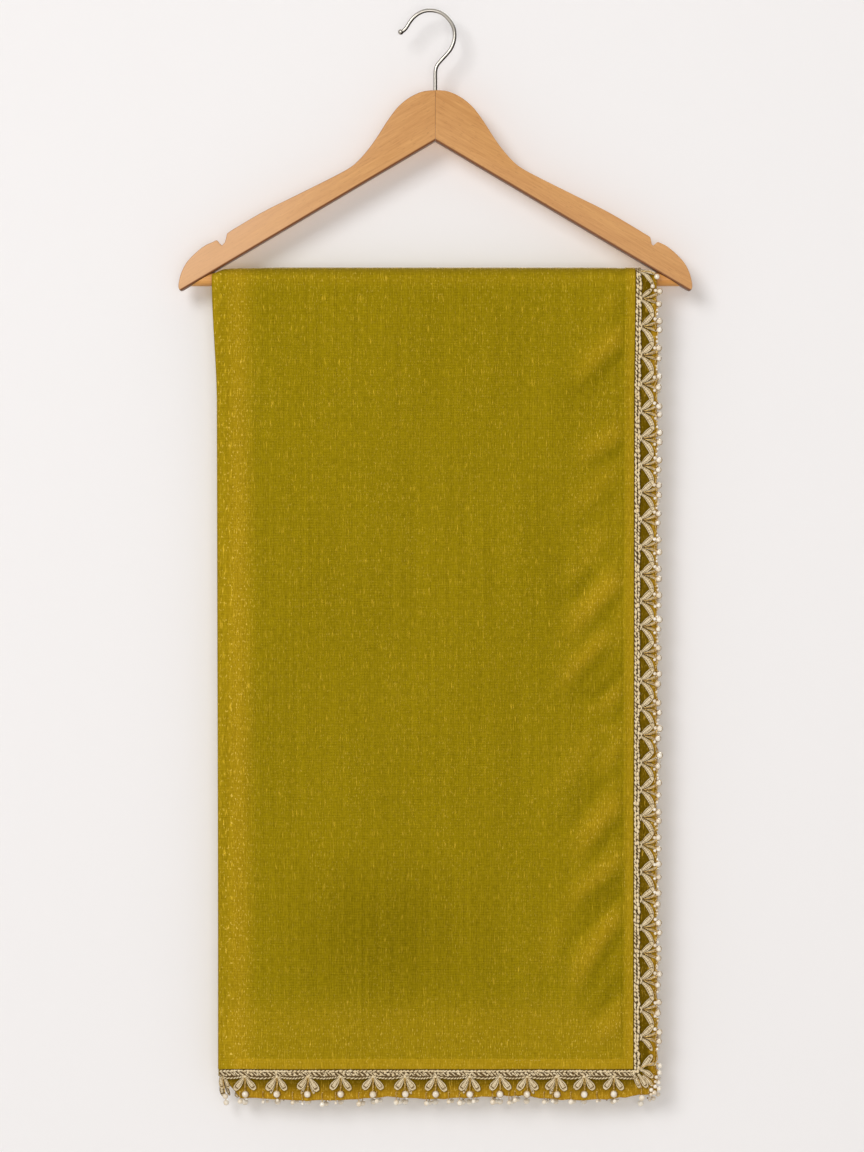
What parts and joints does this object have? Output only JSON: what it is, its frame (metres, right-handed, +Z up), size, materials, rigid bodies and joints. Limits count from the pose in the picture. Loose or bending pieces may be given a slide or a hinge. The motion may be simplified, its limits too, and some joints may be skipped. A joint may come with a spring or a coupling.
{
  "type": "folded saree on a wooden hanger",
  "caption": "Silky olive and gold saree with a leaf and pearl lace border, folded flat and hung over the bar of a plain wooden hanger with a wire hook.",
  "frame": {"origin": "under the top of the hook, where a rail bears", "axes": "+Z up, -Y towards the front of the saree, +X to the right seen from the front"},
  "size_m": [0.4448, 0.0234, 0.9521],
  "materials": {
    "hook_steel": "polished",
    "hanger_wood": "satin varnish",
    "saree_cloth": "satin shot tissue, olive and gold",
    "saree_under_cloth": "satin shot tissue, seen as mustard",
    "lace": "matt thread with pearl beads"
  },
  "bodies": {
    "root": {"hook": "hook_steel", "arm_left": "hanger_wood", "arm_right": "hanger_wood", "trouser_bar": "hanger_wood", "front_stretch": "saree_cloth", "back_stretch": "saree_cloth", "under_stretch": "saree_under_cloth", "hidden_layers": "saree_under_cloth", "side_lace_front": "lace", "side_lace_back": "lace", "foot_lace_front": "lace", "foot_lace_back": "lace"}
  },
  "joints": []
}
